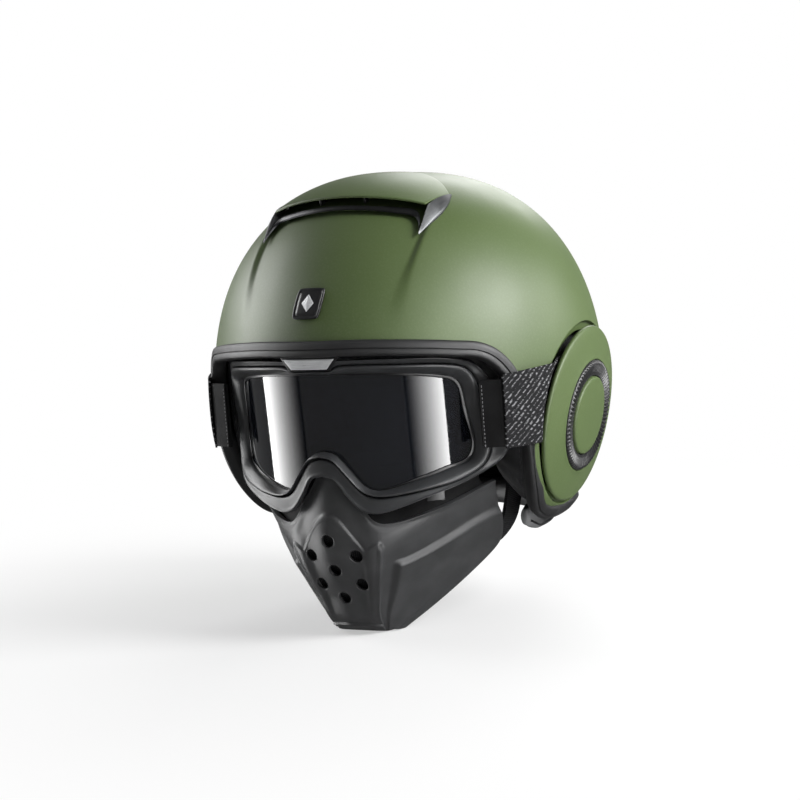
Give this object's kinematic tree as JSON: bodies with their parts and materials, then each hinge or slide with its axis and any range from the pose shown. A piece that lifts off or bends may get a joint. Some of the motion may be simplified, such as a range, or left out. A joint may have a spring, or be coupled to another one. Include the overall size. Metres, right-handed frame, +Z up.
{
  "type": "open face motorcycle helmet",
  "caption": "Open face motorcycle helmet with round ear discs, a strapped goggle with a smoke lens, and a clip-on face mask with breathing holes.",
  "frame": {"origin": "bottom centre of the whole helmet's bounding box", "axes": "+Z up, the wearer looks along -Y, +X is the wearer's left"},
  "size_m": [0.255, 0.2668, 0.2799],
  "materials": {
    "green": "matt lacquer",
    "rubber": "satin rubber",
    "black_plastic": "fine grain",
    "dark_plastic": "soft matt",
    "smoke": "smoke tinted, glossy",
    "metal": "brushed",
    "webbing": "woven elastic",
    "liner": "brushed knit",
    "leatherette": "fine grain leatherette",
    "foam": "moulded bead foam",
    "soft_foam": "open cell foam"
  },
  "bodies": {
    "helmet": {"outer_shell": "green", "eps_liner": "foam", "comfort_liner": "liner", "cheek_pad_left": "liner", "cheek_pad_right": "liner", "neck_roll": "leatherette", "edge_trim": "rubber", "vent_cover": "green", "vent_intake": "black_plastic", "vent_wing_left": "metal", "vent_wing_right": "metal", "rear_exhaust": "black_plastic", "badge_plate": "black_plastic", "badge_emblem": "metal", "side_disc_left": "green", "side_disc_right": "green", "ribbed_ring_left": "black_plastic", "ribbed_ring_right": "black_plastic", "centre_cap_left": "green", "centre_cap_right": "green", "disc_screw_left": "metal", "disc_screw_right": "metal", "disc_boss_left": "black_plastic", "disc_boss_right": "black_plastic", "goggle_strap_left": "webbing", "goggle_strap_right": "webbing", "chin_strap_left": "webbing", "chin_strap_right": "webbing", "strap_anchor_left": "metal", "strap_anchor_right": "metal", "buckle_body": "metal"},
    "vent_shutter": {"vent_shutter": "black_plastic"},
    "buckle_lever": {"buckle_lever": "black_plastic"},
    "ratchet_tongue": {"ratchet_tongue": "black_plastic"},
    "goggles": {"goggle_frame": "dark_plastic", "goggle_bezel": "dark_plastic", "goggle_lens": "smoke", "face_foam": "soft_foam", "nameplate": "metal", "strap_clip_left": "black_plastic", "strap_clip_right": "black_plastic"},
    "mask": {"mask_shell": "dark_plastic", "mask_front_panel": "dark_plastic", "mask_mesh": "soft_foam", "mask_nose_pad": "soft_foam", "mask_clip_left": "black_plastic", "mask_clip_right": "black_plastic"}
  },
  "joints": [
    {"name": "goggles_pull", "type": "slide", "parent": "helmet", "child": "goggles", "axis": [0, -1, 0], "range_m": [0, 0.04], "stiffness_N_per_m": 150},
    {"name": "mask_release", "type": "slide", "parent": "goggles", "child": "mask", "axis": [0, 0, -1], "range_m": [0, 0.03]},
    {"name": "vent_shutter_slide", "type": "slide", "parent": "helmet", "child": "vent_shutter", "axis": [0, -0.941, -0.3384], "range_m": [0, 0.009]},
    {"name": "buckle_lever_hinge", "type": "hinge", "parent": "helmet", "child": "buckle_lever", "pos_m": [0.04664, -0.0223, 0.02992], "axis": [0.1848, -0.9817, 0.0462], "range_deg": [0, 45]},
    {"name": "tongue_slide", "type": "slide", "parent": "helmet", "child": "ratchet_tongue", "axis": [-0.9524, -0.1905, -0.2381], "range_m": [0, 0.02]}
  ]
}
